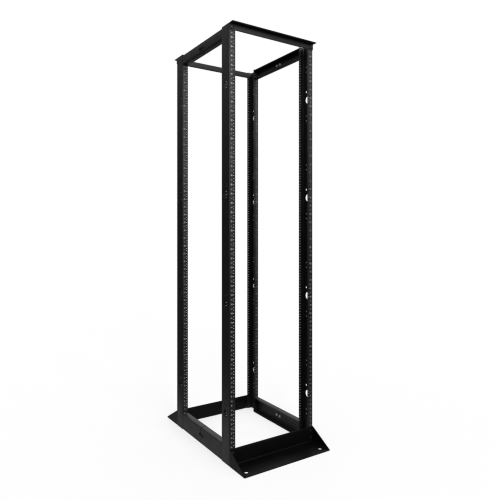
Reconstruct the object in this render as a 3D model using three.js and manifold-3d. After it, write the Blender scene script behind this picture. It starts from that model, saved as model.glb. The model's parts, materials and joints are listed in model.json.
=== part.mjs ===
// Open four-post 19-inch equipment rack, 45 rack units high.
//
// Frame: millimetres, +Z up, origin on the floor under the middle of the rack.
// -Y is the front, +X is the right-hand side seen from the front.
//
// The front frame is two channel posts, a top angle, a folded base and the front half of four
// side rails. The rear frame is the same with the rear rail halves. The two halves of a rail meet
// at mid depth. Inside them runs a slide with a row of holes: it is bolted to the front half, and
// the rear half moves along it, which is how the depth of the rack is set.

import * as THREE from 'three';
import { mergeVertices } from 'three/addons/utils/BufferGeometryUtils.js';
import Module from 'manifold-3d';

const wasm = await Module();
wasm.setup();

// ---------------------------------------------------------------- driving dimensions

const INCH = 25.4;
const GAP = 0.3; // free space between two pieces that are bolted face to face

// Whole frame
const WIDTH = 20.25 * INCH; // over the two post webs
const HEIGHT = 84 * INCH;
const POST_DEPTH_SPAN = 24 * INCH; // front face of the front posts to rear face of the rear posts

// Posts: C-channels that open towards the middle of the rack
const POST_WEB = 3 * INCH;
const POST_FLANGE = 1.25 * INCH;
const POST_SHEET = 2.5;

// Rack units, 44.45 mm each, with three mounting holes per unit in the posts' outer flanges
const RACK_UNIT = 1.75 * INCH;
const RACK_UNIT_COUNT = 45;
const FIRST_UNIT_Z = 88;
const UNIT_HOLE_HEIGHTS = [0.25 * INCH, 0.875 * INCH, 1.5 * INCH]; // above the bottom of the unit
const UNIT_HOLE_RADIUS = 3.5; // to the corners of a four-sided hole with the area of a round 5.6 mm one
const UNIT_COLUMN_SPACING = 465.1;
const UNIT_HOLE_U = (WIDTH - UNIT_COLUMN_SPACING) / 2; // inward from the side of the rack

// Holes in the post webs: every 12 units a cable hole with two smaller holes side by side one
// unit above it, and every 6 units a pair of small holes, one above the other. The pairs lie off
// the middle of the web. The four posts are one and the same part, so the pairs lie nearer the
// outer flange on two of them and nearer the inner flange on the other two.
const CABLE_HOLE_RADIUS = 20.5;
const CABLE_HOLE_COUNT = 4;
const CABLE_HOLE_FIRST_Z = FIRST_UNIT_Z + 3.5 * RACK_UNIT;
const CABLE_HOLE_STEP = 12 * RACK_UNIT;
const GROMMET_HOLE_RADIUS = 6.5;
const PAIR_HOLE_RADIUS = 3.5;
const PAIR_COUNT = 8;
const PAIR_FIRST_Z = FIRST_UNIT_Z + 1.25 * RACK_UNIT;
const PAIR_STEP = 6 * RACK_UNIT;
const PAIR_SPACING = INCH;
const HOLE_ROW_OFFSET = INCH / 2; // rows of small holes, from the middle of the web

// Top angles
const ANGLE_LEG = 1.25 * INCH;
const ANGLE_SHEET = 2.5;

// Folded bases
const BASE_HEIGHT = 80;
const FOOT_LENGTH = 5.5 * INCH;
const BASE_SHEET = 3;
const ANCHOR_RADIUS = 10;
const ANCHOR_FROM_SIDE = 33;
const ANCHOR_FROM_POST = 101;

// Side rails: channels in two halves that meet at mid depth, with a channel-shaped slide inside
const RAIL_SHEET = 2;
const RAIL_FLANGE = 1.25 * INCH;
const RAIL_INSET = 1; // rail web behind the outer face of the post web
const BOTTOM_RAIL_HEIGHT = 86;
const TOP_RAIL_HEIGHT = 2 * INCH;
const TOP_RAIL_DROP = 5; // below the top of the rack
const HALF_START = 2.5; // free end of each rail half, from mid depth
const TAB_SETBACK = 3; // free edge of the end tab, behind the edge of the flanges
const NEST = RAIL_SHEET + GAP; // how far each face of the slide lies inside the rail halves
const SLIDE_REACH = 219; // each end of the slide, from mid depth
const SETTING_STEP = 30; // pitch of the depth holes
const SETTING_COUNT = 14; // along the slide
const SETTING_RADIUS = 4;

// Bolts: hexagonal head and nut over a plain shank
const SHANK_RADIUS = 3.6;
const BOLT_HOLE_RADIUS = 4.2;
const HEAD_RADIUS = 7.4;
const HEAD_HEIGHT = 5;
const CHAMFER = 0.8;
const SHANK_PAST_NUT = 2;
const POST_BOLT_U = 16; // inward from the outer face of the post web
const TOP_BOLT_U = 12.9;
const TOP_BOLT_DROP = 20;
const BASE_BOLT_Z = [24, 60];
const BOTTOM_RAIL_BOLT_Z = [22, 64];
const TOP_RAIL_BOLT_Z = [HEIGHT - TOP_RAIL_DROP - 38, HEIGHT - TOP_RAIL_DROP - 13];
const RAIL_BOLT_REACH = SETTING_STEP / 2; // splice and clamp bolts, from mid depth

// Facets of the round shapes, and how holes are cut
const UNIT_HOLE_SIDES = 4;
const PAIR_HOLE_SIDES = 6;
const BOLT_HOLE_SIDES = 8;
const LARGE_HOLE_SIDES = 16;
const BOLT_SIDES = 6;
const DRILL_LENGTH = 20;
const MERGE_DISTANCE = 1e-4;
const GRID_PER_MM = 64;

const HALF_WIDTH = WIDTH / 2;
const HALF_SPAN = POST_DEPTH_SPAN / 2;

// Sides and ends of the rack: the sign of X and of Y
const LEFT = -1;
const RIGHT = 1;
const FRONT = -1;
const REAR = 1;
const SIDE_NAMES = { [LEFT]: 'left', [RIGHT]: 'right' };
const END_NAMES = { [FRONT]: 'front', [REAR]: 'rear' };

// ---------------------------------------------------------------- materials

const powderCoat = (color) => new THREE.MeshStandardMaterial({ color, roughness: 0.55, metalness: 0.1 });
const POST_COAT = powderCoat(0x232425);
const RAIL_COAT = powderCoat(0x1e1f20);
const BASE_COAT = powderCoat(0x191a1b);
const BOLT_ZINC = new THREE.MeshStandardMaterial({ color: 0x141516, roughness: 0.4, metalness: 0.7 });

// ---------------------------------------------------------------- solids

/** Turns a closed three.js geometry into a solid that can be joined and cut. */
function toSolid(geometry) {
  geometry.deleteAttribute('normal');
  geometry.deleteAttribute('uv');
  const merged = mergeVertices(geometry, MERGE_DISTANCE);
  return new wasm.Manifold(new wasm.Mesh({
    numProp: 3,
    vertProperties: new Float32Array(merged.attributes.position.array),
    triVerts: new Uint32Array(merged.index.array),
  }));
}

/** Turns a solid into a named mesh of its own. */
function toMesh(name, solid, material) {
  const { vertProperties, triVerts } = solid.getMesh();
  const geometry = new THREE.BufferGeometry();
  geometry.setAttribute('position', new THREE.BufferAttribute(new Float32Array(vertProperties), 3));
  geometry.setIndex(new THREE.BufferAttribute(new Uint32Array(triVerts), 1));
  geometry.computeVertexNormals();
  const mesh = new THREE.Mesh(geometry, material);
  mesh.name = name;
  return mesh;
}

/** Puts a coordinate on a fine grid, so that faces meant to be flush are exactly flush. */
const snap = (value) => Math.round(value * GRID_PER_MM) / GRID_PER_MM;

/** A plate between two opposite corners, given in any order. */
function plate(from, to) {
  const [x0, y0, z0] = from.map(snap);
  const [x1, y1, z1] = to.map(snap);
  const geometry = new THREE.BoxGeometry(Math.abs(x1 - x0), Math.abs(y1 - y0), Math.abs(z1 - z0));
  geometry.translate((x0 + x1) / 2, (y0 + y1) / 2, (z0 + z1) / 2);
  return toSolid(geometry);
}

/** A round drill centred on a point, along X, Y or Z. */
function drill(axis, center, radius, sides = BOLT_HOLE_SIDES) {
  const geometry = new THREE.CylinderGeometry(radius, radius, DRILL_LENGTH, sides);
  geometry.rotateY(Math.PI / sides);
  if (axis === 'x') geometry.rotateZ(Math.PI / 2);
  if (axis === 'z') geometry.rotateX(Math.PI / 2);
  geometry.translate(...center);
  return toSolid(geometry);
}

const join = (solids) => solids.reduce((whole, solid) => whole.add(solid));
const cut = (solid, drills) => drills.reduce((rest, tool) => rest.subtract(tool), solid);

/**
 * Places for one corner of the rack. u is measured inward from the outer face of the post web,
 * v inward from the outer face of the post's outer flange.
 */
function corner(side, end) {
  const x = (u) => side * (HALF_WIDTH - u);
  const y = (v) => end * (HALF_SPAN - v);
  return {
    x,
    y,
    plate: (u, v, z) => plate([x(u[0]), y(v[0]), z[0]], [x(u[1]), y(v[1]), z[1]]),
    drillX: (v, z, radius, sides) => drill('x', [x(0), y(v), z], radius, sides),
    drillY: (u, v, z, radius = BOLT_HOLE_RADIUS, sides = BOLT_HOLE_SIDES) => (
      drill('y', [x(u), y(v), z], radius, sides)
    ),
  };
}

// ---------------------------------------------------------------- posts

function post(side, end) {
  const at = corner(side, end);
  const fullHeight = [0, HEIGHT];
  const channel = join([
    at.plate([0, POST_SHEET], [0, POST_WEB], fullHeight),
    at.plate([0, POST_FLANGE], [0, POST_SHEET], fullHeight),
    at.plate([0, POST_FLANGE], [POST_WEB - POST_SHEET, POST_WEB], fullHeight),
  ]);
  const holes = [at.drillY(TOP_BOLT_U, 0, HEIGHT - TOP_BOLT_DROP)];
  for (let i = 0; i < CABLE_HOLE_COUNT; i += 1) {
    const z = CABLE_HOLE_FIRST_Z + i * CABLE_HOLE_STEP;
    holes.push(at.drillX(POST_WEB / 2, z, CABLE_HOLE_RADIUS, LARGE_HOLE_SIDES));
    [-HOLE_ROW_OFFSET, HOLE_ROW_OFFSET].forEach((offset) => {
      const v = POST_WEB / 2 + offset;
      holes.push(at.drillX(v, z + RACK_UNIT, GROMMET_HOLE_RADIUS, BOLT_HOLE_SIDES));
    });
  }
  const pairV = POST_WEB / 2 - side * end * HOLE_ROW_OFFSET;
  for (let i = 0; i < PAIR_COUNT; i += 1) {
    const z = PAIR_FIRST_Z + i * PAIR_STEP;
    holes.push(at.drillX(pairV, z - PAIR_SPACING / 2, PAIR_HOLE_RADIUS, PAIR_HOLE_SIDES));
    holes.push(at.drillX(pairV, z + PAIR_SPACING / 2, PAIR_HOLE_RADIUS, PAIR_HOLE_SIDES));
  }
  for (let unit = 0; unit < RACK_UNIT_COUNT; unit += 1) {
    UNIT_HOLE_HEIGHTS.forEach((height) => {
      const z = FIRST_UNIT_Z + unit * RACK_UNIT + height;
      holes.push(at.drillY(UNIT_HOLE_U, 0, z, UNIT_HOLE_RADIUS, UNIT_HOLE_SIDES));
    });
  }
  BASE_BOLT_Z.forEach((z) => holes.push(at.drillY(POST_BOLT_U, 0, z)));
  [...BOTTOM_RAIL_BOLT_Z, ...TOP_RAIL_BOLT_Z].forEach((z) => {
    holes.push(at.drillY(POST_BOLT_U, POST_WEB, z));
  });
  return toMesh(`${END_NAMES[end]}_${SIDE_NAMES[side]}_post`, cut(channel, holes), POST_COAT);
}

// ---------------------------------------------------------------- top angles and bases

/** L-angle across two posts: one leg bolted to their outer flanges, one pointing outward. */
function topAngle(end) {
  const left = corner(LEFT, end);
  const right = corner(RIGHT, end);
  const face = -GAP;
  const upright = plate(
    [left.x(0), left.y(face - ANGLE_SHEET), HEIGHT - ANGLE_LEG],
    [right.x(0), right.y(face), HEIGHT],
  );
  const level = plate(
    [left.x(0), left.y(face - ANGLE_LEG), HEIGHT - ANGLE_SHEET],
    [right.x(0), right.y(face), HEIGHT],
  );
  const holes = [left, right].map((at) => at.drillY(TOP_BOLT_U, face, HEIGHT - TOP_BOLT_DROP));
  return toMesh(`${END_NAMES[end]}_top_angle`, cut(join([upright, level]), holes), RAIL_COAT);
}

/** Upright triangle that closes one end of a base, from the top of its back to the toe. */
function gusset(at, side) {
  const outline = new THREE.Shape([
    new THREE.Vector2(snap(at.y(-GAP)), 0),
    new THREE.Vector2(snap(at.y(-GAP)), BASE_HEIGHT),
    new THREE.Vector2(snap(at.y(-GAP - BASE_SHEET)), BASE_HEIGHT),
    new THREE.Vector2(snap(at.y(-FOOT_LENGTH)), BASE_SHEET),
    new THREE.Vector2(snap(at.y(-FOOT_LENGTH)), 0),
  ]);
  const geometry = new THREE.ExtrudeGeometry(outline, { depth: BASE_SHEET, bevelEnabled: false });
  const yzToWorld = new THREE.Matrix4().makeBasis(
    new THREE.Vector3(0, 1, 0),
    new THREE.Vector3(0, 0, 1),
    new THREE.Vector3(1, 0, 0),
  );
  geometry.applyMatrix4(yzToWorld);
  geometry.translate(snap(side === LEFT ? at.x(0) : at.x(BASE_SHEET)), 0, 0);
  return toSolid(geometry);
}

/** Folded base: an upright back against the posts, a foot plate on the floor and two gussets. */
function base(end) {
  const left = corner(LEFT, end);
  const right = corner(RIGHT, end);
  const back = plate(
    [left.x(0), left.y(-GAP - BASE_SHEET), 0],
    [right.x(0), right.y(-GAP), BASE_HEIGHT],
  );
  const foot = plate(
    [left.x(0), left.y(-FOOT_LENGTH), 0],
    [right.x(0), right.y(-GAP), BASE_SHEET],
  );
  const folded = join([back, foot, gusset(left, LEFT), gusset(right, RIGHT)]);
  const holes = [];
  [left, right].forEach((at) => {
    const anchor = [at.x(ANCHOR_FROM_SIDE), at.y(-ANCHOR_FROM_POST), 0];
    holes.push(drill('z', anchor, ANCHOR_RADIUS, LARGE_HOLE_SIDES));
    BASE_BOLT_Z.forEach((z) => holes.push(at.drillY(POST_BOLT_U, -GAP, z)));
  });
  return toMesh(`${END_NAMES[end]}_base`, cut(folded, holes), BASE_COAT);
}

// ---------------------------------------------------------------- side rails

/** The two levels a rail runs at: its lowest and highest z and the z of its end bolts. */
const RAIL_LEVELS = {
  bottom: { low: 0, high: BOTTOM_RAIL_HEIGHT, boltZ: BOTTOM_RAIL_BOLT_Z },
  top: {
    low: HEIGHT - TOP_RAIL_DROP - TOP_RAIL_HEIGHT,
    high: HEIGHT - TOP_RAIL_DROP,
    boltZ: TOP_RAIL_BOLT_Z,
  },
};
const middleZ = (level) => (level.low + level.high) / 2;

/** Channel that opens inward, with the outer face of its web at webU. */
function railChannel(at, webU, run, [low, high]) {
  const flangeEndU = RAIL_INSET + RAIL_FLANGE;
  return join([
    at.plate([webU, webU + RAIL_SHEET], run, [low, high]),
    at.plate([webU, flangeEndU], run, [low, low + RAIL_SHEET]),
    at.plate([webU, flangeEndU], run, [high - RAIL_SHEET, high]),
  ]);
}

/** One half of a side rail: a channel from its post to mid depth, with a tab bolted to the post. */
function railHalf(levelName, side, end) {
  const level = RAIL_LEVELS[levelName];
  const at = corner(side, end);
  const z = [level.low, level.high];
  const tabV = POST_WEB + GAP;
  const tab = at.plate(
    [RAIL_INSET, RAIL_INSET + RAIL_FLANGE - TAB_SETBACK],
    [tabV, tabV + RAIL_SHEET],
    z,
  );
  const channel = railChannel(at, RAIL_INSET, [tabV, HALF_SPAN - HALF_START], z);
  const holes = level.boltZ.map((boltZ) => at.drillY(POST_BOLT_U, tabV, boltZ));
  holes.push(drill('x', [at.x(RAIL_INSET), end * RAIL_BOLT_REACH, middleZ(level)], SETTING_RADIUS));
  const name = `${levelName}_${SIDE_NAMES[side]}_rail_${END_NAMES[end]}_half`;
  return toMesh(name, cut(join([channel, tab]), holes), RAIL_COAT);
}

/** The slide inside a rail: a smaller channel with the row of depth holes. */
function railSlide(levelName, side) {
  const level = RAIL_LEVELS[levelName];
  const at = corner(side, FRONT);
  const run = [HALF_SPAN - SLIDE_REACH, HALF_SPAN + SLIDE_REACH];
  const channel = railChannel(at, RAIL_INSET + NEST, run, [level.low + NEST, level.high - NEST]);
  const holes = [];
  for (let i = 0; i < SETTING_COUNT; i += 1) {
    const y = (i - (SETTING_COUNT - 1) / 2) * SETTING_STEP;
    holes.push(drill('x', [at.x(RAIL_INSET + NEST), y, middleZ(level)], SETTING_RADIUS));
  }
  return toMesh(`${levelName}_${SIDE_NAMES[side]}_rail_slide`, cut(channel, holes), RAIL_COAT);
}

// ---------------------------------------------------------------- bolts

/**
 * Hexagonal bolt that points along +Y with the underside of its head at y = 0. With a grip it
 * passes through that thickness into its nut; without one it ends after shankLength.
 */
function boltGeometry({ grip = 0, shankLength = 0 }) {
  const outline = [
    [0, -HEAD_HEIGHT],
    [HEAD_RADIUS - CHAMFER, -HEAD_HEIGHT],
    [HEAD_RADIUS, -HEAD_HEIGHT + CHAMFER],
    [HEAD_RADIUS, 0],
    [SHANK_RADIUS, 0],
  ];
  if (grip > 0) {
    outline.push(
      [SHANK_RADIUS, grip],
      [HEAD_RADIUS, grip],
      [HEAD_RADIUS, grip + HEAD_HEIGHT],
      [SHANK_RADIUS, grip + HEAD_HEIGHT],
      [SHANK_RADIUS, grip + HEAD_HEIGHT + SHANK_PAST_NUT],
      [0, grip + HEAD_HEIGHT + SHANK_PAST_NUT],
    );
  } else {
    outline.push([SHANK_RADIUS, shankLength], [0, shankLength]);
  }
  return new THREE.LatheGeometry(outline.map(([r, y]) => new THREE.Vector2(r, y)), BOLT_SIDES);
}

function bolt(name, geometry, position, rotationZ) {
  const mesh = new THREE.Mesh(geometry, BOLT_ZINC);
  mesh.name = name;
  mesh.position.set(...position);
  mesh.rotation.z = rotationZ;
  return mesh;
}

/** A bolt along Y that joins two sheets at one corner; its head faces outward or inward. */
function cornerBolt(name, side, end, { u, headV, z, grip, pointsInward }) {
  const at = corner(side, end);
  const towardsPlusY = (end === FRONT) === pointsInward;
  return bolt(name, boltGeometry({ grip }), [at.x(u), at.y(headV), z], towardsPlusY ? 0 : Math.PI);
}

function cornerBolts(side, end) {
  const prefix = `${END_NAMES[end]}_${SIDE_NAMES[side]}`;
  const angleFace = -GAP - ANGLE_SHEET - GAP;
  const baseFace = -GAP - BASE_SHEET - GAP;
  const tabFace = POST_WEB + GAP + RAIL_SHEET + GAP;
  const bolts = [
    cornerBolt(`${prefix}_top_angle_bolt`, side, end, {
      u: TOP_BOLT_U,
      headV: angleFace,
      z: HEIGHT - TOP_BOLT_DROP,
      grip: POST_SHEET + GAP - angleFace,
      pointsInward: true,
    }),
  ];
  BASE_BOLT_Z.forEach((z, i) => {
    bolts.push(cornerBolt(`${prefix}_base_bolt_${i + 1}`, side, end, {
      u: POST_BOLT_U,
      headV: baseFace,
      z,
      grip: POST_SHEET + GAP - baseFace,
      pointsInward: true,
    }));
  });
  const railGrip = tabFace - (POST_WEB - POST_SHEET - GAP);
  Object.entries(RAIL_LEVELS).forEach(([levelName, level]) => {
    level.boltZ.forEach((z, i) => {
      bolts.push(cornerBolt(`${prefix}_${levelName}_rail_bolt_${i + 1}`, side, end, {
        u: POST_BOLT_U,
        headV: tabFace,
        z,
        grip: railGrip,
        pointsInward: false,
      }));
    });
  });
  return bolts;
}

/**
 * The bolt between a rail half and its slide. At the front it holds the slide for good, with a
 * nut behind it. At the rear it is the clamp bolt, and its shank ends inside the rail half's web.
 */
function slideBolt(levelName, side, end) {
  const kind = end === FRONT ? 'splice' : 'clamp';
  const throughBothWebs = { grip: GAP + RAIL_SHEET + NEST + GAP };
  const throughRailWeb = { shankLength: RAIL_SHEET };
  return bolt(
    `${levelName}_${SIDE_NAMES[side]}_${kind}_bolt`,
    boltGeometry(end === FRONT ? throughBothWebs : throughRailWeb),
    [side * (HALF_WIDTH - RAIL_INSET + GAP), end * RAIL_BOLT_REACH, middleZ(RAIL_LEVELS[levelName])],
    side === LEFT ? -Math.PI / 2 : Math.PI / 2,
  );
}

// ---------------------------------------------------------------- assembly

function frameGroup(end) {
  const group = new THREE.Group();
  group.add(topAngle(end), base(end));
  [LEFT, RIGHT].forEach((side) => {
    group.add(post(side, end), ...cornerBolts(side, end));
    Object.keys(RAIL_LEVELS).forEach((levelName) => {
      group.add(railHalf(levelName, side, end), slideBolt(levelName, side, end));
      if (end === FRONT) group.add(railSlide(levelName, side));
    });
  });
  return group;
}

const rack = new THREE.Group();
rack.add(frameGroup(FRONT), frameGroup(REAR));

export default rack;
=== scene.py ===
"""Open four-post 19-inch equipment rack: sheet metal, bolts, unit marks, finishes, light and camera."""

import json
import math

import bmesh
import bpy
from mathutils import Matrix, Vector


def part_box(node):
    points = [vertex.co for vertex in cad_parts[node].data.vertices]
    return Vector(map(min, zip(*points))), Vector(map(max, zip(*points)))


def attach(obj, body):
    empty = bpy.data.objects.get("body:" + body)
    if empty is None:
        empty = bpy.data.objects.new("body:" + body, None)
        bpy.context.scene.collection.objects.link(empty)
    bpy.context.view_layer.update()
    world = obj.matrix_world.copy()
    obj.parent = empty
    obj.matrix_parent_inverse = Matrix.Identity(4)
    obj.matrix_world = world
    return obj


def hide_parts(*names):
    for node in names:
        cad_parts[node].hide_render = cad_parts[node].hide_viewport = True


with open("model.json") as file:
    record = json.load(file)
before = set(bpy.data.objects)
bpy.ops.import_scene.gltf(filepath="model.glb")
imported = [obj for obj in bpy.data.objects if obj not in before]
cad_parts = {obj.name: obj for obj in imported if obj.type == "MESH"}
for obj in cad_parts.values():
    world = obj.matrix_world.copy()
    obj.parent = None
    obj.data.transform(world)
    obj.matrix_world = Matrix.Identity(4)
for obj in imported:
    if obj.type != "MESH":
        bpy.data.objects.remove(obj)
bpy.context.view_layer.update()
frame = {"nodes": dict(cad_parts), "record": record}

MM = 0.001
LEFT, RIGHT = -1, 1
FRONT, REAR = -1, 1
SIDE_NAMES = {LEFT: "left", RIGHT: "right"}
END_NAMES = {FRONT: "front", REAR: "rear"}
QUARTER_TURN = math.pi / 2

# The frame's own sizes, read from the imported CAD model
BODY_OF = {node: body for body, nodes in frame["record"]["behaviour"]["bodies"].items() for node in nodes}
SLOT_OF = {part["node"]: part["material_slot"] for part in frame["record"]["subparts"]}
POST_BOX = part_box("front_left_post")
BASE_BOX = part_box("front_base")
ANGLE_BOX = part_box("front_top_angle")
HALF_WIDTH = -POST_BOX[0].x
HALF_SPAN = -POST_BOX[0].y
HEIGHT = POST_BOX[1].z
POST_FLANGE = POST_BOX[1].x - POST_BOX[0].x
POST_WEB = POST_BOX[1].y - POST_BOX[0].y

# Sheet metal
GAP = 0.3 * MM  # between two sheets that are bolted face to face
POST_SHEET = 2.5 * MM
ANGLE_SHEET = 2.5 * MM
BASE_SHEET = 3 * MM
RAIL_SHEET = 2 * MM
BEND = 1.6 * MM  # inner radius of a bend
BASE_BEND = 3.5 * MM
BEND_STEPS = 8
EDGE_BREAK = 0.35 * MM  # rounding of a cut sheet edge and of a hole's rim
EDGE_ROUNDNESS = 0.3  # how near a broken edge's middle point is to the sharp corner, 0 being on it
TOE_CHAMFER = 0.6 * BASE_SHEET  # cut-off lower corner at the toe of a gusset

# Rack units, the mounting holes in both flanges of every post, and the printed marks
RACK_UNIT = 44.45 * MM
RACK_UNITS = 45
FIRST_UNIT_Z = 88 * MM
UNIT_HOLE_HEIGHTS = (6.35 * MM, 22.225 * MM, 38.1 * MM)
UNIT_HOLE_RADIUS = 2.8 * MM
HOLE_COLUMNS_APART = 465.1 * MM
UNIT_HOLE_U = HALF_WIDTH - HOLE_COLUMNS_APART / 2
MARK_U = 12.9 * MM  # from the post's outer face to the middle of the marks
MARK_HEIGHT = 6.8 * MM
MARK_PAINT = 0.08 * MM  # how far the paint stands out, and how far it reaches into the steel
TICK_SIZE = (8 * MM, 1.5 * MM)
FONT_SIZE = 1.42 * MARK_HEIGHT
NUMERAL_WEIGHT = 0.12 * MM  # how much wider than the font's the strokes are on each side
NUMERAL_CURVE_STEPS = 2

# Holes in the post webs: cable holes, two smaller holes side by side one unit above each, and
# pairs of small holes that lie off the middle of the web
CABLE_HOLE_RADIUS = 20.5 * MM
CABLE_HOLE_UNITS = (3.5, 15.5, 27.5, 39.5)
GROMMET_HOLE_RADIUS = 6.5 * MM
PAIR_HOLE_RADIUS = 3.5 * MM
PAIR_UNITS = (1.25, 7.25, 13.25, 19.25, 25.25, 31.25, 37.25, 43.25)
PAIR_SPACING = 25.4 * MM
HOLE_ROW_OFFSET = 12.7 * MM

# Holes for bolts, floor anchors and the depth setting, and the rails' end tabs
BOLT_HOLE_RADIUS = 4.2 * MM
ANCHOR_RADIUS = 10 * MM
ANCHOR_FROM_SIDE = 33 * MM
ANCHOR_FROM_POST = 101 * MM
SETTING_RADIUS = 4 * MM
SETTING_STEP = 30 * MM
SLIDE_HOLES = 14
TAB_SETBACK = 3 * MM  # how far an end tab stops short of the rail's lips

# Sides of round shapes
UNIT_HOLE_SIDES = 12
SMALL_HOLE_SIDES = 14
SETTING_SIDES = 18
GROMMET_HOLE_SIDES = 24
ANCHOR_SIDES = 40
CABLE_HOLE_SIDES = 48
SHANK_SIDES = 18
FLOOR_SIDES = 96

# Bolts
BOLT_RING = 36
HEX_FLATS = 12.8 * MM
HEX_FACE = 0.97  # width of a hexagon's round end face, over its flats
HEX_CHAMFER_SLOPE = 0.58
WASHER = (8.2 * MM, 1.2 * MM)  # radius and thickness
WASHER_EDGE = 0.2 * MM
HEAD_HEIGHT = 5 * MM
SHANK_RADIUS = 3.6 * MM
THREAD_PITCH = 1.25 * MM
THREAD_DEPTH = 0.5 * MM
PAST_NUT = 2 * MM

# Weld beads of the gussets
BEAD_RADIUS = 2.6 * MM
BEAD_RIPPLE = 3.2 * MM  # length of one ripple
BEAD_SWELL = 0.14  # how much a ripple swells the bead
BEAD_HOLLOW = 0.14  # how far the middle of the bead's face is hollowed
BEAD_END = 0.55  # radius of the bead's two ends, over the radius between them
BEAD_SLICES = 4  # slices in one ripple
BEAD_ARC_STEPS = 6
BEAD_BURIED = 0.5 * MM  # how far a bead reaches into the sheets it joins
BEAD_CLEAR = 2 * MM  # how far from the base's bend a bead starts
BEAD_STOP = 6 * MM  # how far short of the sheets' free edges a bead ends

# Mesh clean-up and shading
MERGE_DISTANCE = 1e-7
SHARP_ANGLE = math.radians(34)
ALIGNED_COSINE = 0.99999  # a normal this near an axis belongs to flat sheet

# Studio
WHITE = (1, 1, 1, 1)
FLOOR_RADIUS = 14
# The floor's colour is a painted pool of light: pale out to the first radius, fading to dark by the
# second, so the metal reflects a dim room
FLOOR_PALE_RADIUS = 0.45
FLOOR_DIM_RADIUS = 1.1
FLOOR_NEAR = 0.15
FLOOR_FAR = 0.024
FLOOR_WASH = 6.0  # strength of the even light on the floor alone
BACKDROP_RADIUS = 12
BACKDROP_HEIGHTS = (-1, 12)
BACKDROP_SIDES = 64
BACKDROP_GLOW = 1.2
LIGHTS = (
    # name, place, point it shines at, size, watts
    ("key", (-0.6, -4.4, 3.0), (0, 0, 1.1), (2.2, 2.2), 170),
    ("fill", (2.6, -3.6, 4.0), (0, 0, 1.2), (2.2, 2.2), 20),
)
CAMERA_PLACE = (-1.448, -2.3755, 1.1455)
CAMERA_HEADING = 0.5896  # radians from +Y towards +X
CAMERA_LENS = 35.7
CAMERA_SENSOR = 36
CAMERA_SHIFT = (-0.026, -0.044)
CAMERA_REACH = 100
ROOM_TERMS = (
    # direction, from and to (cosine of the angle to it), brightness there
    ((0, 0, 1), 0.05, 0.75, 0.02, 0.7),
    ((0.5, 0.86, 0.12), 0.72, 0.98, 0.0, 0.6),
)


# ---------------------------------------------------------------- mesh helpers


def new_object(name, bm):
    """A mesh object from a bmesh, with its faces turned outward; flat faces stay flat."""
    bmesh.ops.remove_doubles(bm, verts=bm.verts, dist=MERGE_DISTANCE)
    bmesh.ops.recalc_face_normals(bm, faces=bm.faces)
    mesh = bpy.data.meshes.new(name)
    bm.to_mesh(mesh)
    bm.free()
    obj = bpy.data.objects.new(name, mesh)
    bpy.context.scene.collection.objects.link(obj)
    return obj


def smooth_round_faces(obj):
    """Smooth shading on bends, rims and hole walls; the flat sheet keeps its flat normals."""
    for face in obj.data.polygons:
        axis_aligned = max(abs(component) for component in face.normal) > ALIGNED_COSINE
        face.use_smooth = not axis_aligned
    obj.data.set_sharp_from_angle(angle=SHARP_ANGLE)


def add_prism(bm, outline, low, high, place):
    """A closed prism: a 2-D outline run from low to high, put in space by place(a, b, run)."""
    rings = [[bm.verts.new(place(a, b, run)) for a, b in outline] for run in (low, high)]
    count = len(outline)
    for i in range(count):
        j = (i + 1) % count
        bm.faces.new((rings[0][i], rings[0][j], rings[1][j], rings[1][i]))
    bm.faces.new(reversed(rings[0]))
    bm.faces.new(rings[1])


def join_rings(bm, rings):
    """Skins a stack of rings with the same number of vertices and caps both ends."""
    count = len(rings[0])
    for lower, upper in zip(rings, rings[1:]):
        for i in range(count):
            j = (i + 1) % count
            bm.faces.new((lower[i], lower[j], upper[j], upper[i]))
    bm.faces.new(reversed(rings[0]))
    bm.faces.new(rings[-1])


def add_turned(bm, profile, matrix, sides):
    """A solid of revolution about local Z: profile is (radius, height) pairs, closed by flat ends."""
    rings = []
    for radius, height in profile:
        ring = []
        for i in range(sides):
            turn = 2 * math.pi * (i + 0.5) / sides
            local = Vector((radius * math.cos(turn), radius * math.sin(turn), height))
            ring.append(bm.verts.new(matrix @ local))
        rings.append(ring)
    join_rings(bm, rings)


def boolean(obj, other, operation):
    """Applies a boolean with another object and removes that object."""
    modifier = obj.modifiers.new("boolean", "BOOLEAN")
    modifier.solver = "MANIFOLD"
    modifier.operation = operation
    modifier.object = other
    depsgraph = bpy.context.evaluated_depsgraph_get()
    mesh = bpy.data.meshes.new_from_object(obj.evaluated_get(depsgraph))
    obj.modifiers.clear()
    obj.data = mesh
    bpy.data.objects.remove(other)


# ---------------------------------------------------------------- sheet metal


def broken_edge(point, normal, along, sheet):
    """Cross-section of a cut edge with both its corners broken. normal runs through the sheet from
    its outer face, along away from the edge."""
    return [
        point + along * EDGE_BREAK,
        point + along * EDGE_BREAK * EDGE_ROUNDNESS + normal * EDGE_BREAK * EDGE_ROUNDNESS,
        point + normal * EDGE_BREAK,
        point + normal * (sheet - EDGE_BREAK),
        point + along * EDGE_BREAK * EDGE_ROUNDNESS + normal * (sheet - EDGE_BREAK * EDGE_ROUNDNESS),
        point + along * EDGE_BREAK + normal * sheet,
    ]


def bent_sheet(path, inward, sheet, bend):
    """Outline of a folded sheet. path is its outer face, inward the side (+1 left, -1 right of
    travel) its thickness lies on; corners get an inner radius of bend, and cut edges are broken."""
    points = [Vector(point) for point in path]
    directions = [(b - a).normalized() for a, b in zip(points, points[1:])]
    normals = [Vector((-along.y, along.x)) * inward for along in directions]
    outer = bend + sheet
    face, back = [], []
    for corner_point, before, after in zip(points[1:-1], normals, normals[1:]):
        center = corner_point + (before + after) * outer
        for step in range(BEND_STEPS + 1):
            turn = QUARTER_TURN * step / BEND_STEPS
            normal = before * math.cos(turn) + after * math.sin(turn)
            point = center - normal * outer
            face.append(point)
            back.append(point + normal * sheet)
    start = broken_edge(points[0], normals[0], directions[0], sheet)
    end = broken_edge(points[-1], normals[-1], -directions[-1], sheet)
    outline = start[2::-1] + face + end + back[::-1] + start[:2:-1]
    return [tuple(point) for point in outline]


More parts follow.
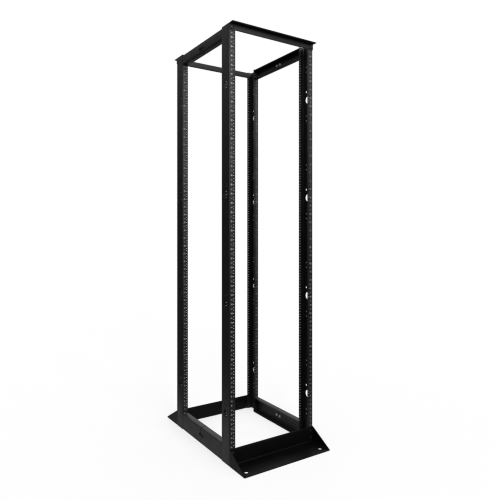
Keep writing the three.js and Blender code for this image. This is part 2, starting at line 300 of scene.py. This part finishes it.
class Corner:
    """Places in one corner of the rack: u inward from the web's outer face, v inward from the
    outer face of the post's outer flange, both in metres."""

    def __init__(self, side, end):
        self.side, self.end = side, end
        self.name = f"{END_NAMES[end]}_{SIDE_NAMES[side]}"

    def x(self, u):
        return self.side * (HALF_WIDTH - u)

    def y(self, v):
        return self.end * (HALF_SPAN - v)

    def hole_x(self, v, z, radius, sheet, sides=SMALL_HOLE_SIDES):
        """A hole through the post's web, as cut_holes takes it."""
        return (Vector((self.x(sheet / 2), self.y(v), z)), "x", radius, sheet, sides)

    def hole_y(self, u, v, z, radius, sheet, sides=SMALL_HOLE_SIDES):
        """A hole through a sheet that faces front and rear, as cut_holes takes it."""
        return (Vector((self.x(u), self.y(v), z)), "y", radius, sheet, sides)


AXIS_TURN = {
    "x": Matrix.Rotation(QUARTER_TURN, 4, "Y"),
    "y": Matrix.Rotation(-QUARTER_TURN, 4, "X"),
    "z": Matrix.Identity(4),
}


def cut_holes(obj, holes):
    """Cuts round holes with broken rims. Each hole is its centre, half way through the sheet, its
    axis and radius, the thickness of the sheet, and how many sides it gets."""
    bm = bmesh.new()
    for center, axis, radius, sheet, sides in holes:
        half = sheet / 2
        over = half + EDGE_BREAK
        profile = [
            (radius + 2 * EDGE_BREAK, -over),
            (radius, -half + EDGE_BREAK),
            (radius, half - EDGE_BREAK),
            (radius + 2 * EDGE_BREAK, over),
        ]
        add_turned(bm, profile, Matrix.Translation(center) @ AXIS_TURN[axis], sides)
    boolean(obj, new_object("cutter", bm), "DIFFERENCE")


def finish_piece(piece, node):
    """Gives a finished piece its shading, finish and body, in place of its CAD node."""
    smooth_round_faces(piece)
    piece.data.materials.clear()
    piece.data.materials.append(FINISHES[SLOT_OF[node]])
    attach(piece, BODY_OF[node])
    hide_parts(node)


# ---------------------------------------------------------------- finishes


def shader(name, **inputs):
    """A new material with one Principled shader and its constant sockets set."""
    material = bpy.data.materials.new(name)
    material.use_nodes = True
    principled = material.node_tree.nodes["Principled BSDF"]
    for socket, value in inputs.items():
        principled.inputs[socket.replace("_", " ")].default_value = value
    return material, principled


def object_place(tree):
    """Coordinates in the piece's own axes, in metres."""
    return tree.nodes.new("ShaderNodeTexCoord").outputs["Object"]


def noise(tree, place, scale, detail, roughness=0.5):
    """Cloudy noise from 0 to 1."""
    node = tree.nodes.new("ShaderNodeTexNoise")
    node.inputs["Scale"].default_value = scale
    node.inputs["Detail"].default_value = detail
    node.inputs["Roughness"].default_value = roughness
    tree.links.new(place, node.inputs["Vector"])
    return node.outputs["Fac"]


def ramp(tree, factor, low, high, positions=(0.3, 0.7)):
    """A blend from low to high, each a grey or a colour, as factor passes between two positions."""
    node = tree.nodes.new("ShaderNodeValToRGB")
    for element, position, value in zip(node.color_ramp.elements, positions, (low, high)):
        element.position = position
        element.color = (*value, 1) if isinstance(value, tuple) else (value, value, value, 1)
    tree.links.new(factor, node.inputs["Fac"])
    return node.outputs["Color"]


def bump(tree, height, strength, distance, below=None):
    """A normal tilted by height, on top of the bump below it if there is one."""
    node = tree.nodes.new("ShaderNodeBump")
    node.inputs["Strength"].default_value = strength
    node.inputs["Distance"].default_value = distance
    tree.links.new(height, node.inputs["Height"])
    if below is not None:
        tree.links.new(below, node.inputs["Normal"])
    return node.outputs["Normal"]


def powder_coat(name, dark, light, specular, offset):
    """Satin black powder coat: fine orange peel over gently uneven sheet, cloudy gloss and tone."""
    material, principled = shader(name, Specular_IOR_Level=specular)
    tree = material.node_tree
    moved = tree.nodes.new("ShaderNodeVectorMath")
    moved.inputs[1].default_value = offset
    tree.links.new(object_place(tree), moved.inputs[0])
    place = moved.outputs["Vector"]
    mottled = tree.nodes.new("ShaderNodeMix")
    mottled.data_type = "FLOAT"
    mottled.inputs["Factor"].default_value = 0.45
    tree.links.new(noise(tree, place, scale=7, detail=4), mottled.inputs["A"])
    tree.links.new(noise(tree, place, scale=900, detail=2), mottled.inputs["B"])
    tree.links.new(ramp(tree, mottled.outputs["Result"], dark, light), principled.inputs["Base Color"])
    clouds = noise(tree, place, scale=23, detail=5, roughness=0.6)
    tree.links.new(ramp(tree, clouds, low=0.38, high=0.52), principled.inputs["Roughness"])
    orange_peel = noise(tree, place, scale=1100, detail=2)
    peel = bump(tree, orange_peel, strength=0.5, distance=0.06 * MM)
    unevenness = noise(tree, place, scale=9, detail=1)
    wave = bump(tree, unevenness, strength=0.35, distance=1.2 * MM, below=peel)
    tree.links.new(wave, principled.inputs["Normal"])
    return material


def plated_steel(name, dark, light, metallic):
    """Zinc plated steel, with fine turning and plating marks."""
    material, principled = shader(name, Metallic=metallic, Specular_IOR_Level=0.5)
    tree = material.node_tree
    place = object_place(tree)
    patches = noise(tree, place, scale=260, detail=4)
    tree.links.new(ramp(tree, patches, dark, light), principled.inputs["Base Color"])
    tree.links.new(ramp(tree, patches, low=0.5, high=0.3), principled.inputs["Roughness"])
    marks = bump(tree, noise(tree, place, scale=2400, detail=3), strength=0.3, distance=0.04 * MM)
    tree.links.new(marks, principled.inputs["Normal"])
    return material


def printed_paint(name):
    """Screen-printed white ink, a little thin in places."""
    material, principled = shader(name, Specular_IOR_Level=0.35)
    tree = material.node_tree
    patches = noise(tree, object_place(tree), scale=700, detail=3)
    ink = ramp(tree, patches, low=(0.72, 0.72, 0.71), high=(0.9, 0.9, 0.88))
    tree.links.new(ink, principled.inputs["Base Color"])
    tree.links.new(ramp(tree, patches, low=0.7, high=0.5), principled.inputs["Roughness"])
    tree.links.new(bump(tree, patches, strength=0.4, distance=0.03 * MM), principled.inputs["Normal"])
    return material


FINISHES = {
    "post_coat": powder_coat(
        "post_coat", dark=0.002, light=0.0045, specular=0.5, offset=(0.0, 0.0, 0.0)),
    "rail_coat": powder_coat(
        "rail_coat", dark=0.002, light=0.0042, specular=0.42, offset=(3.1, 1.7, 0.4)),
    # base_coat is the posts' black powder coat made darker and less glossy: its darker tone is painted
    # shade on the base down by the floor
    "base_coat": powder_coat(
        "base_coat", dark=0.0007, light=0.0017, specular=0.15, offset=(7.3, 2.9, 5.2)),
    "bolt_zinc": plated_steel(
        "bolt_zinc", dark=(0.018, 0.018, 0.02), light=(0.05, 0.05, 0.054), metallic=0.85),
}
BRIGHT_ZINC = plated_steel(
    "bright_zinc", dark=(0.5, 0.51, 0.53), light=(0.66, 0.67, 0.68), metallic=0.15)
INK = printed_paint("unit_mark_ink")


# ---------------------------------------------------------------- posts


def unit_z(units):
    """Height of the line that lies so many rack units above the first."""
    return FIRST_UNIT_Z + units * RACK_UNIT


def bolt_centers(prefix):
    """Centres of the CAD bolts whose node names start with prefix."""
    centers = []
    for node in sorted(frame["nodes"]):
        if node.startswith(prefix) and "bolt" in node:
            low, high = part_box(node)
            centers.append((low + high) / 2)
    return centers


def web_holes(corner):
    """The holes in the web of one post. All four posts are the same part, turned half round on the
    right, so the pairs lie in front of the web's middle on the left and behind it on the right."""
    middle = POST_WEB / 2
    holes = []
    for units in CABLE_HOLE_UNITS:
        z = unit_z(units)
        holes.append(corner.hole_x(middle, z, CABLE_HOLE_RADIUS, POST_SHEET, CABLE_HOLE_SIDES))
        z = unit_z(units + 1)
        for v in (middle - HOLE_ROW_OFFSET, middle + HOLE_ROW_OFFSET):
            holes.append(corner.hole_x(v, z, GROMMET_HOLE_RADIUS, POST_SHEET, GROMMET_HOLE_SIDES))
    pair_v = middle - corner.side * corner.end * HOLE_ROW_OFFSET
    for units in PAIR_UNITS:
        for shift in (-PAIR_SPACING / 2, PAIR_SPACING / 2):
            holes.append(corner.hole_x(pair_v, unit_z(units) + shift, PAIR_HOLE_RADIUS, POST_SHEET))
    return holes


def flange_holes(corner):
    """The mounting holes in both flanges of one post, and its bolt holes."""
    outer_v = POST_SHEET / 2
    inner_v = POST_WEB - POST_SHEET / 2
    holes = []
    for unit in range(RACK_UNITS):
        for height in UNIT_HOLE_HEIGHTS:
            z = unit_z(unit) + height
            for v in (outer_v, inner_v):
                hole = corner.hole_y(UNIT_HOLE_U, v, z, UNIT_HOLE_RADIUS, POST_SHEET, UNIT_HOLE_SIDES)
                holes.append(hole)
    for center in bolt_centers(corner.name):
        u = HALF_WIDTH - corner.side * center.x
        v = inner_v if HALF_SPAN - corner.end * center.y > POST_WEB / 2 else outer_v
        holes.append(corner.hole_y(u, v, center.z, BOLT_HOLE_RADIUS, POST_SHEET))
    return holes


def post(side, end):
    """A channel that opens inward, with its holes."""
    corner = Corner(side, end)
    path = [(POST_FLANGE, 0), (0, 0), (0, POST_WEB), (POST_FLANGE, POST_WEB)]
    bm = bmesh.new()
    add_prism(bm, bent_sheet(path, -1, POST_SHEET, BEND), 0, HEIGHT,
              lambda u, v, z: Vector((corner.x(u), corner.y(v), z)))
    piece = new_object(f"{corner.name}_post_steel", bm)
    cut_holes(piece, web_holes(corner) + flange_holes(corner))
    finish_piece(piece, f"{corner.name}_post")


def glyph(text):
    """A closed, thin mesh of a numeral, centred on the origin in its own XY plane."""
    curve = bpy.data.curves.new("numeral", "FONT")
    curve.body = text
    curve.size = FONT_SIZE
    curve.align_x = "CENTER"
    curve.align_y = "CENTER"
    curve.extrude = MARK_PAINT
    curve.offset = NUMERAL_WEIGHT
    curve.resolution_u = NUMERAL_CURVE_STEPS
    holder = bpy.data.objects.new("numeral", curve)
    bpy.context.scene.collection.objects.link(holder)
    depsgraph = bpy.context.evaluated_depsgraph_get()
    mesh = bpy.data.meshes.new_from_object(holder.evaluated_get(depsgraph))
    bpy.data.objects.remove(holder)
    return mesh


NUMERALS = [glyph(str(unit + 1)) for unit in range(RACK_UNITS)]


def unit_marks(side, end):
    """Printed unit numbers and ticks on the flange of a post that faces the front of the rack."""
    corner = Corner(side, end)
    face_y = corner.y(0 if end == FRONT else POST_WEB)
    upright = Matrix.Rotation(QUARTER_TURN, 4, "X")
    bm = bmesh.new()
    for unit, mesh in enumerate(NUMERALS):
        first = len(bm.verts)
        bm.from_mesh(mesh)
        bm.verts.ensure_lookup_table()
        place = Matrix.Translation((corner.x(MARK_U), face_y, unit_z(unit + 0.5))) @ upright
        bmesh.ops.transform(bm, matrix=place, verts=bm.verts[first:])
    half_x, half_z = TICK_SIZE[0] / 2, TICK_SIZE[1] / 2
    tick = [(-half_x, -half_z), (half_x, -half_z), (half_x, half_z), (-half_x, half_z)]
    for unit in range(RACK_UNITS + 1):
        add_prism(bm, tick, -MARK_PAINT, MARK_PAINT,
                  lambda a, b, run: Vector((corner.x(MARK_U) + a, face_y + run, unit_z(unit) + b)))
    piece = new_object(f"{corner.name}_unit_marks", bm)
    piece.data.materials.clear()
    piece.data.materials.append(INK)
    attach(piece, f"{END_NAMES[end]}_frame")


# ---------------------------------------------------------------- top angles and bases


def across(end):
    """Puts (v, z) run along X, for pieces that cross the rack from side to side."""
    corner = Corner(RIGHT, end)
    return lambda v, z, x: Vector((x, corner.y(v), z))


def top_angle(end):
    """The angle that joins the tops of two posts, with its level leg pointing outward."""
    leg = ANGLE_BOX[1].z - ANGLE_BOX[0].z
    path = [(-GAP, HEIGHT - leg), (-GAP, HEIGHT), (-leg, HEIGHT)]
    bm = bmesh.new()
    add_prism(bm, bent_sheet(path, 1, ANGLE_SHEET, BEND), -HALF_WIDTH, HALF_WIDTH, across(end))
    name = f"{END_NAMES[end]}_top_angle"
    piece = new_object(f"{name}_steel", bm)
    v = -GAP - ANGLE_SHEET / 2
    holes = []
    for side in (LEFT, RIGHT):
        corner = Corner(side, end)
        for center in bolt_centers(f"{corner.name}_top_angle"):
            u = HALF_WIDTH - side * center.x
            holes.append(corner.hole_y(u, v, center.z, BOLT_HOLE_RADIUS, ANGLE_SHEET))
    cut_holes(piece, holes)
    finish_piece(piece, name)


def base(end):
    """A folded foot: upright back, foot plate on the floor, a welded gusset at each end."""
    height = BASE_BOX[1].z
    toe = HALF_SPAN + BASE_BOX[0].y
    path = [(-GAP, height), (-GAP, 0), (toe, 0)]
    folded = bent_sheet(path, -1, BASE_SHEET, BASE_BEND)
    bm = bmesh.new()
    add_prism(bm, folded, -HALF_WIDTH, HALF_WIDTH, across(end))
    name = f"{END_NAMES[end]}_base"
    piece = new_object(f"{name}_steel", bm)
    for side in (LEFT, RIGHT):
        boolean(piece, gusset(side, end, height, toe), "UNION")
        for bead in gusset_welds(side, end, height, toe):
            boolean(piece, bead, "UNION")
    holes = []
    for side in (LEFT, RIGHT):
        corner = Corner(side, end)
        anchor = Vector((corner.x(ANCHOR_FROM_SIDE), corner.y(-ANCHOR_FROM_POST), BASE_SHEET / 2))
        holes.append((anchor, "z", ANCHOR_RADIUS, BASE_SHEET, ANCHOR_SIDES))
        for center in bolt_centers(f"{corner.name}_base"):
            u = HALF_WIDTH - side * center.x
            v = -GAP - BASE_SHEET / 2
            holes.append(corner.hole_y(u, v, center.z, BOLT_HOLE_RADIUS, BASE_SHEET))
    cut_holes(piece, holes)
    finish_piece(piece, name)


def gusset(side, end, height, toe):
    """Upright triangle at one end of a base."""
    corner = Corner(side, end)
    outer = BASE_BEND + BASE_SHEET
    arc = []
    for step in range(BEND_STEPS + 1):
        turn = QUARTER_TURN * step / BEND_STEPS
        arc.append((-GAP - outer + outer * math.cos(turn), outer - outer * math.sin(turn)))
    outline = [(-GAP, height - EDGE_BREAK), *arc]
    outline += [(toe + TOE_CHAMFER, 0), (toe, TOE_CHAMFER), (toe, BASE_SHEET)]
    outline += [(-GAP - BASE_SHEET, height - EDGE_BREAK), (-GAP - BASE_SHEET + EDGE_BREAK, height)]
    outline.append((-GAP - EDGE_BREAK, height))
    bm = bmesh.new()
    ends = sorted((corner.x(0), corner.x(BASE_SHEET)))
    add_prism(bm, outline, *ends, across(end))
    return new_object("gusset", bm)


def gusset_welds(side, end, height, toe):
    """Two weld beads inside a gusset: one along the foot plate and one up the base's back."""
    corner = Corner(side, end)
    clear = BASE_BEND + BEAD_CLEAR
    back_v = -GAP - BASE_SHEET
    foot_run = (back_v - clear, toe + BEAD_STOP)
    back_run = (BASE_SHEET + clear, height - BEAD_STOP)

    def on_foot(a, b, v):
        return Vector((corner.x(BASE_SHEET + a), corner.y(v), BASE_SHEET + b))

    def on_back(a, b, z):
        return Vector((corner.x(BASE_SHEET + a), corner.y(back_v - b), z))

    return [weld_bead(foot_run, on_foot), weld_bead(back_run, on_back)]


def weld_bead(run, place):
    """A rippled bead in the corner between two sheets, from one end of run to the other."""
    start, stop = run
    rings = []
    count = max(2, int(abs(stop - start) / BEAD_RIPPLE * BEAD_SLICES))
    for i in range(count + 1):
        ripple = 1 + BEAD_SWELL * abs(math.sin(math.pi * i / BEAD_SLICES))
        taper = BEAD_END if i in (0, count) else 1
        radius = BEAD_RADIUS * ripple * taper
        ring = [(-BEAD_BURIED, -BEAD_BURIED)]
        for step in range(BEAD_ARC_STEPS + 1):
            turn = QUARTER_TURN * step / BEAD_ARC_STEPS
            hollow = 1 - BEAD_HOLLOW + BEAD_HOLLOW * abs(math.cos(2 * turn))
            a = radius * math.cos(turn) * hollow if step < BEAD_ARC_STEPS else -BEAD_BURIED
            b = radius * math.sin(turn) * hollow if step > 0 else -BEAD_BURIED
            ring.append((a, b))
        along = start + (stop - start) * i / count
        rings.append([place(a, b, along) for a, b in ring])
    bm = bmesh.new()
    join_rings(bm, [[bm.verts.new(point) for point in ring] for ring in rings])
    return new_object("bead", bm)


# ---------------------------------------------------------------- side rails


def rail_channel(node, side):
    """A channel that opens inward and fills the CAD node's box. Returned with that box's corners
    and with how far its web and its lips lie from the rack's side."""
    low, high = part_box(node)
    web_u = HALF_WIDTH - max(abs(low.x), abs(high.x))
    lip_u = HALF_WIDTH - min(abs(low.x), abs(high.x))
    path = [(lip_u, low.z), (web_u, low.z), (web_u, high.z), (lip_u, high.z)]
    bm = bmesh.new()
    add_prism(bm, bent_sheet(path, -1, RAIL_SHEET, BEND), low.y, high.y,
              lambda u, z, y: Vector((side * (HALF_WIDTH - u), y, z)))
    return new_object(f"{node}_steel", bm), low, high, web_u, lip_u


def setting_hole(side, web_u, low, high, y):
    """A depth hole at mid height of a rail web."""
    center = Vector((side * (HALF_WIDTH - web_u - RAIL_SHEET / 2), y, (low.z + high.z) / 2))
    return (center, "x", SETTING_RADIUS, RAIL_SHEET, SETTING_SIDES)


def rail_half(level, side, end):
    """One half of a side rail, from its post to mid depth, with the tab that is bolted to the post."""
    corner = Corner(side, end)
    node = f"{level}_{SIDE_NAMES[side]}_rail_{END_NAMES[end]}_half"
    piece, low, high, web_u, lip_u = rail_channel(node, side)
    tab_y = low.y if end == FRONT else high.y - RAIL_SHEET
    inset = (RAIL_SHEET + BEND) / 2
    tab_end = lip_u - TAB_SETBACK
    tab = [(web_u + inset, low.z + inset), (tab_end, low.z + inset)]
    tab += [(tab_end, high.z - inset), (web_u + inset, high.z - inset)]
    bm = bmesh.new()
    add_prism(bm, tab, tab_y, tab_y + RAIL_SHEET, lambda u, z, y: Vector((corner.x(u), y, z)))
    boolean(piece, new_object("tab", bm), "UNION")
    holes = []
    for center in bolt_centers(f"{corner.name}_{level}_rail"):
        place = Vector((center.x, tab_y + RAIL_SHEET / 2, center.z))
        holes.append((place, "y", BOLT_HOLE_RADIUS, RAIL_SHEET, SMALL_HOLE_SIDES))
    holes.append(setting_hole(side, web_u, low, high, end * SETTING_STEP / 2))
    cut_holes(piece, holes)
    finish_piece(piece, node)


def rail_slide(level, side):
    """The slide inside a rail, with the row of depth holes."""
    node = f"{level}_{SIDE_NAMES[side]}_rail_slide"
    piece, low, high, web_u, _ = rail_channel(node, side)
    holes = []
    for i in range(SLIDE_HOLES):
        y = (i + 0.5 - SLIDE_HOLES / 2) * SETTING_STEP
        holes.append(setting_hole(side, web_u, low, high, y))
    cut_holes(piece, holes)
    finish_piece(piece, node)


# ---------------------------------------------------------------- bolts


def hex_radius(turn, flats):
    """Distance from the axis to a hexagon's side in the direction of an angle."""
    sector = (turn + math.pi / 6) % (math.pi / 3) - math.pi / 6
    return flats / 2 / math.cos(sector)


def add_hexagon(bm, low, high, matrix):
    """A hexagonal head or nut with its corners turned off at both faces."""
    face_radius = HEX_FLATS / 2 * HEX_FACE
    rings = []
    for height, inset in ((low, True), (low, False), (high, False), (high, True)):
        ring = []
        inward = 1 if height == low else -1
        for i in range(BOLT_RING):
            turn = 2 * math.pi * i / BOLT_RING
            full = hex_radius(turn, HEX_FLATS)
            radius = face_radius if inset else full
            drop = 0 if inset else (full - face_radius) * HEX_CHAMFER_SLOPE
            local = Vector((radius * math.cos(turn), radius * math.sin(turn), height + inward * drop))
            ring.append(bm.verts.new(matrix @ local))
        rings.append(ring)
    join_rings(bm, rings)


def add_thread(bm, low, high, matrix):
    """A threaded end, as a stack of ridges."""
    profile = [(SHANK_RADIUS - THREAD_DEPTH, low)]
    ridges = max(1, int((high - low) / THREAD_PITCH))
    step = (high - low) / ridges
    for i in range(ridges):
        profile.append((SHANK_RADIUS, low + (i + 0.5) * step))
        profile.append((SHANK_RADIUS - THREAD_DEPTH, low + (i + 1) * step))
    add_turned(bm, profile, matrix, SHANK_SIDES)


def is_slide_bolt(node):
    """True for the bolts that hold the slides of the side rails."""
    return "splice" in node or "clamp" in node


def bolt_axis(node):
    """Where a CAD bolt's head ends, the way its head points, and its whole length. A clamp bolt of
    the CAD model stops inside the rail's web, so its length is the splice bolt's."""
    low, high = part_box(node)
    center = (low + high) / 2
    if is_slide_bolt(node):
        outward = Vector((math.copysign(1, center.x), 0, 0))
    else:
        outward = Vector((0, math.copysign(1, center.y), 0))
    if "rail_bolt" in node:
        outward = -outward
    size = high - low
    length = abs(size.dot(outward))
    head_end = center + outward * length / 2
    if "clamp" in node:
        splice_low, splice_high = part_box(node.replace("clamp", "splice"))
        length = splice_high.x - splice_low.x
    return head_end, outward, length


def bolt(node):
    """A hexagonal bolt with washer and nut in a CAD bolt's place."""
    head_end, outward, length = bolt_axis(node)
    turn = outward.to_track_quat("Z", "Y").to_matrix().to_4x4()
    matrix = Matrix.Translation(head_end) @ turn
    washer_radius, washer_sheet = WASHER
    face = -HEAD_HEIGHT
    bm = bmesh.new()
    add_hexagon(bm, face + washer_sheet, 0, matrix)
    rim = washer_radius - WASHER_EDGE
    washer = [(rim, face), (washer_radius, face + WASHER_EDGE)]
    washer += [(washer_radius, face + washer_sheet - WASHER_EDGE), (rim, face + washer_sheet)]
    add_turned(bm, washer, matrix, BOLT_RING)
    nut_top = -length + PAST_NUT + HEAD_HEIGHT
    add_turned(bm, [(SHANK_RADIUS, nut_top), (SHANK_RADIUS, face)], matrix, SHANK_SIDES)
    faces_before_nut = len(bm.faces)
    add_hexagon(bm, nut_top - HEAD_HEIGHT, nut_top, matrix)
    add_thread(bm, -length, nut_top - HEAD_HEIGHT, matrix)
    piece = new_object(f"{node}_steel", bm)
    finish_piece(piece, node)
    if is_slide_bolt(node):
        piece.data.materials.append(BRIGHT_ZINC)
        for face_index in range(faces_before_nut, len(piece.data.polygons)):
            piece.data.polygons[face_index].material_index = 1


# ---------------------------------------------------------------- studio


def studio_floor():
    """A plain floor under the rack that catches its shadow. Its colour is a painted pool of light, pale
    near the rack and dark far away, so the metal reflects a dim room.
    """
    bm = bmesh.new()
    bmesh.ops.create_circle(bm, cap_ends=True, radius=FLOOR_RADIUS, segments=FLOOR_SIDES)
    floor = new_object("studio_floor", bm)
    material, principled = shader("studio_floor", Roughness=0.9, Specular_IOR_Level=0.1)
    tree = material.node_tree
    away = tree.nodes.new("ShaderNodeVectorMath")
    away.operation = "LENGTH"
    tree.links.new(object_place(tree), away.inputs[0])
    reach = tree.nodes.new("ShaderNodeMapRange")
    reach.inputs["From Min"].default_value = FLOOR_PALE_RADIUS
    reach.inputs["From Max"].default_value = FLOOR_DIM_RADIUS
    tree.links.new(away.outputs["Value"], reach.inputs["Value"])
    # painted pool of light: pale near the rack, dark far away
    painted_light_pool = ramp(tree, reach.outputs["Result"], FLOOR_NEAR, FLOOR_FAR, (0, 1))
    tree.links.new(painted_light_pool, principled.inputs["Base Color"])
    floor.data.materials.append(material)
    floor.is_shadow_catcher = True
    return floor


def floor_wash(floor):
    """Even light on the floor alone, which keeps the shadow there faint."""
    data = bpy.data.lights.new("floor_wash", "SUN")
    data.energy = FLOOR_WASH
    data.use_shadow = False
    light = bpy.data.objects.new("floor_wash", data)
    bpy.context.scene.collection.objects.link(light)
    lit = bpy.data.collections.new("lit_by_floor_wash")
    lit.objects.link(floor)
    light.light_linking.receiver_collection = lit


def studio_backdrop():
    """A plain white wall all round, far off, that only the camera sees."""
    bm = bmesh.new()
    low, high = BACKDROP_HEIGHTS
    bottom, top = [], []
    for i in range(BACKDROP_SIDES):
        turn = 2 * math.pi * i / BACKDROP_SIDES
        x, y = BACKDROP_RADIUS * math.cos(turn), BACKDROP_RADIUS * math.sin(turn)
        bottom.append(bm.verts.new((x, y, low)))
        top.append(bm.verts.new((x, y, high)))
    for i in range(BACKDROP_SIDES):
        j = (i + 1) % BACKDROP_SIDES
        bm.faces.new((bottom[i], bottom[j], top[j], top[i]))
    wall = new_object("studio_backdrop", bm)
    material, principled = shader("studio_backdrop", Roughness=1.0, Emission_Strength=BACKDROP_GLOW)
    principled.inputs["Base Color"].default_value = WHITE
    principled.inputs["Emission Color"].default_value = WHITE
    wall.data.materials.append(material)
    wall.is_shadow_catcher = True
    wall.visible_diffuse = False
    wall.visible_glossy = False
    wall.visible_shadow = False
    wall.visible_transmission = False


def area_light(name, place, target, size, power):
    """A soft box that the camera doesn't see."""
    data = bpy.data.lights.new(name, "AREA")
    data.shape = "RECTANGLE"
    data.size, data.size_y = size
    data.energy = power
    light = bpy.data.objects.new(name, data)
    light.location = place
    light.rotation_euler = (Vector(target) - Vector(place)).to_track_quat("-Z", "Y").to_euler()
    light.visible_camera = False
    bpy.context.scene.collection.objects.link(light)


def room_term(tree, place, direction, start, stop, low, high):
    """Brightness that rises from low to high as a ray turns towards a direction."""
    facing = tree.nodes.new("ShaderNodeVectorMath")
    facing.operation = "DOT_PRODUCT"
    facing.inputs[1].default_value = Vector(direction).normalized()
    tree.links.new(place, facing.inputs[0])
    spread = tree.nodes.new("ShaderNodeMapRange")
    spread.interpolation_type = "SMOOTHSTEP"
    spread.inputs["From Min"].default_value = start
    spread.inputs["From Max"].default_value = stop
    spread.inputs["To Min"].default_value = low
    spread.inputs["To Max"].default_value = high
    tree.links.new(facing.outputs["Value"], spread.inputs["Value"])
    return spread.outputs["Result"]


def room_strength(tree):
    """Brightness of the room in each direction: the sum of its terms."""
    place = tree.nodes.new("ShaderNodeTexCoord").outputs["Generated"]
    total = None
    for term in ROOM_TERMS:
        value = room_term(tree, place, *term)
        if total is None:
            total = value
            continue
        add = tree.nodes.new("ShaderNodeMath")
        tree.links.new(total, add.inputs[0])
        tree.links.new(value, add.inputs[1])
        total = add.outputs["Value"]
    return total


def surroundings():
    """White seen directly, and a soft room for light: dim at eye level, brighter above and behind."""
    world = bpy.data.worlds.new("studio")
    world.use_nodes = True
    bpy.context.scene.world = world
    tree = world.node_tree
    tree.nodes.clear()
    room_light = tree.nodes.new("ShaderNodeBackground")
    room_light.inputs["Color"].default_value = WHITE
    tree.links.new(room_strength(tree), room_light.inputs["Strength"])
    backdrop = tree.nodes.new("ShaderNodeBackground")
    backdrop.inputs["Color"].default_value = WHITE
    mix = tree.nodes.new("ShaderNodeMixShader")
    seen = tree.nodes.new("ShaderNodeLightPath").outputs["Is Camera Ray"]
    tree.links.new(seen, mix.inputs["Fac"])
    tree.links.new(room_light.outputs["Background"], mix.inputs[1])
    tree.links.new(backdrop.outputs["Background"], mix.inputs[2])
    output = tree.nodes.new("ShaderNodeOutputWorld")
    tree.links.new(mix.outputs["Shader"], output.inputs["Surface"])


def camera():
    """Level camera at the front left, 1.15 m up, with a slightly wide lens."""
    data = bpy.data.cameras.new("camera")
    data.sensor_width = CAMERA_SENSOR
    data.lens = CAMERA_LENS
    data.shift_x, data.shift_y = CAMERA_SHIFT
    data.clip_end = CAMERA_REACH
    seen_from = bpy.data.objects.new("camera", data)
    seen_from.location = CAMERA_PLACE
    seen_from.rotation_euler = (QUARTER_TURN, 0, -CAMERA_HEADING)
    bpy.context.scene.collection.objects.link(seen_from)
    bpy.context.scene.camera = seen_from


camera()
surroundings()
floor_wash(studio_floor())
studio_backdrop()
for light_values in LIGHTS:
    area_light(*light_values)
bpy.context.scene.view_settings.view_transform = "Standard"

for rack_end in (FRONT, REAR):
    top_angle(rack_end)
    base(rack_end)
    for rack_side in (LEFT, RIGHT):
        post(rack_side, rack_end)
        unit_marks(rack_side, rack_end)
        for rail_level in ("bottom", "top"):
            rail_half(rail_level, rack_side, rack_end)
            if rack_end == FRONT:
                rail_slide(rail_level, rack_side)

for cad_node in sorted(frame["nodes"]):
    if "bolt" in cad_node:
        bolt(cad_node)
